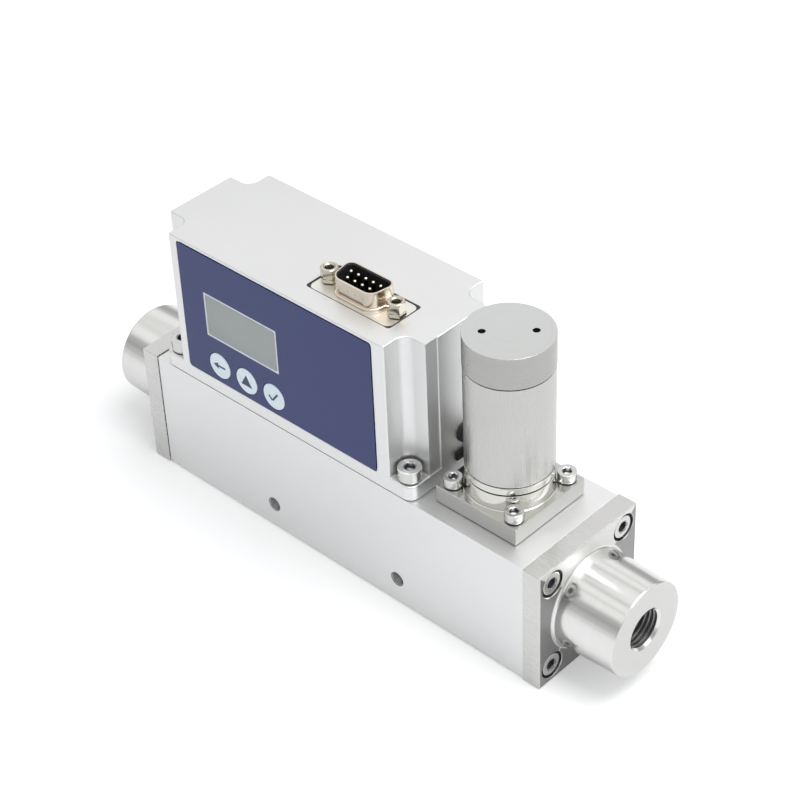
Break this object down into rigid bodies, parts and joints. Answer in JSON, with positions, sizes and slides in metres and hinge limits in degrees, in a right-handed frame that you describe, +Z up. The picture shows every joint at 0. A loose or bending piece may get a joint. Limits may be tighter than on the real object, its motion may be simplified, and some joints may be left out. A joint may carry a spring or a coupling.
{
  "type": "mass flow controller",
  "caption": "Inline gas mass flow controller: square metal flow block with threaded end flanges, round control valve, display housing with keys, multi-way connector on top.",
  "frame": {"origin": "under the middle of the flow block, on the surface that the end flanges stand on", "axes": "+X from the inlet flange to the outlet flange, -Y out of the display's face, +Z up"},
  "size_m": [0.1966, 0.0408, 0.0971],
  "materials": {
    "bead_blasted_aluminium": "bead blasted, satin",
    "milled_aluminium": "milled and turned, fine tool marks",
    "turned_steel": "turned, satin",
    "screw_steel": "bright socket screws",
    "nickel_plate": "nickel plated, slightly warm",
    "magnetic_steel": "ground",
    "spring_steel": "drawn wire",
    "black_rubber": "matt black",
    "lead_sheath": "smooth light grey sheath",
    "seal_rubber": "satin black",
    "overlay_film": "dark blue printed film",
    "display_window": "clear window",
    "display_module": "grey-green liquid crystal",
    "key_face": "pale blue key faces",
    "circuit_board": "green solder resist",
    "switch_black": "moulded, black",
    "insulator_black": "moulded, black",
    "copper_winding": "enamelled copper wire",
    "bobbin_plastic": "moulded, natural"
  },
  "bodies": {
    "body": {"board_header": "switch_black", "coil_bobbin": "bobbin_plastic", "coil_can": "turned_steel", "coil_cap": "turned_steel", "coil_winding": "copper_winding", "connector_insulator": "insulator_black", "connector_shell": "nickel_plate", "core_stop": "magnetic_steel", "display_board": "circuit_board", "display_module": "display_module", "display_window": "display_window", "flow_block": "bead_blasted_aluminium", "flow_element": "turned_steel", "front_overlay": "overlay_film", "guide_tube": "turned_steel", "housing_cover": "bead_blasted_aluminium", "housing_screw_1": "screw_steel", "housing_screw_2": "screw_steel", "housing_screw_3": "screw_steel", "housing_screw_4": "screw_steel", "inlet_flange": "milled_aluminium", "inlet_flange_screw_1": "screw_steel", "inlet_flange_screw_2": "screw_steel", "inlet_flange_screw_3": "screw_steel", "inlet_flange_screw_4": "screw_steel", "inlet_seal": "seal_rubber", "jack_post_1": "nickel_plate", "jack_post_2": "nickel_plate", "key_switch_1": "switch_black", "key_switch_2": "switch_black", "key_switch_3": "switch_black", "lead_grommet": "black_rubber", "main_board": "circuit_board", "outlet_flange": "milled_aluminium", "outlet_flange_screw_1": "screw_steel", "outlet_flange_screw_2": "screw_steel", "outlet_flange_screw_3": "screw_steel", "outlet_flange_screw_4": "screw_steel", "outlet_seal": "seal_rubber", "plunger_spring": "spring_steel", "sensor_base": "turned_steel", "sensor_can": "turned_steel", "sensor_tube": "turned_steel", "sensor_winding_1": "copper_winding", "sensor_winding_2": "copper_winding", "valve_lead": "lead_sheath", "valve_plate": "milled_aluminium", "valve_ring": "turned_steel", "valve_screw_1": "screw_steel", "valve_screw_2": "screw_steel", "valve_screw_3": "screw_steel", "valve_screw_4": "screw_steel", "valve_seat": "turned_steel", "wall_plug": "black_rubber"},
    "key_back": {"key_back": "key_face"},
    "key_up": {"key_up": "key_face"},
    "key_accept": {"key_accept": "key_face"},
    "plunger": {"plunger": "magnetic_steel"}
  },
  "joints": [
    {"name": "key_back_press", "type": "slide", "parent": "body", "child": "key_back", "axis": [0, 1, 0], "range_m": [0, 0.0004], "stiffness_N_per_m": 1500, "springref_m": -0.0002},
    {"name": "key_up_press", "type": "slide", "parent": "body", "child": "key_up", "axis": [0, 1, 0], "range_m": [0, 0.0004], "stiffness_N_per_m": 1500, "springref_m": -0.0002},
    {"name": "key_accept_press", "type": "slide", "parent": "body", "child": "key_accept", "axis": [0, 1, 0], "range_m": [0, 0.0004], "stiffness_N_per_m": 1500, "springref_m": -0.0002},
    {"name": "plunger_lift", "type": "slide", "parent": "body", "child": "plunger", "axis": [0, 0, 1], "range_m": [0, 0.0008], "stiffness_N_per_m": 800, "springref_m": -0.004, "deforming": ["plunger_spring"]}
  ]
}
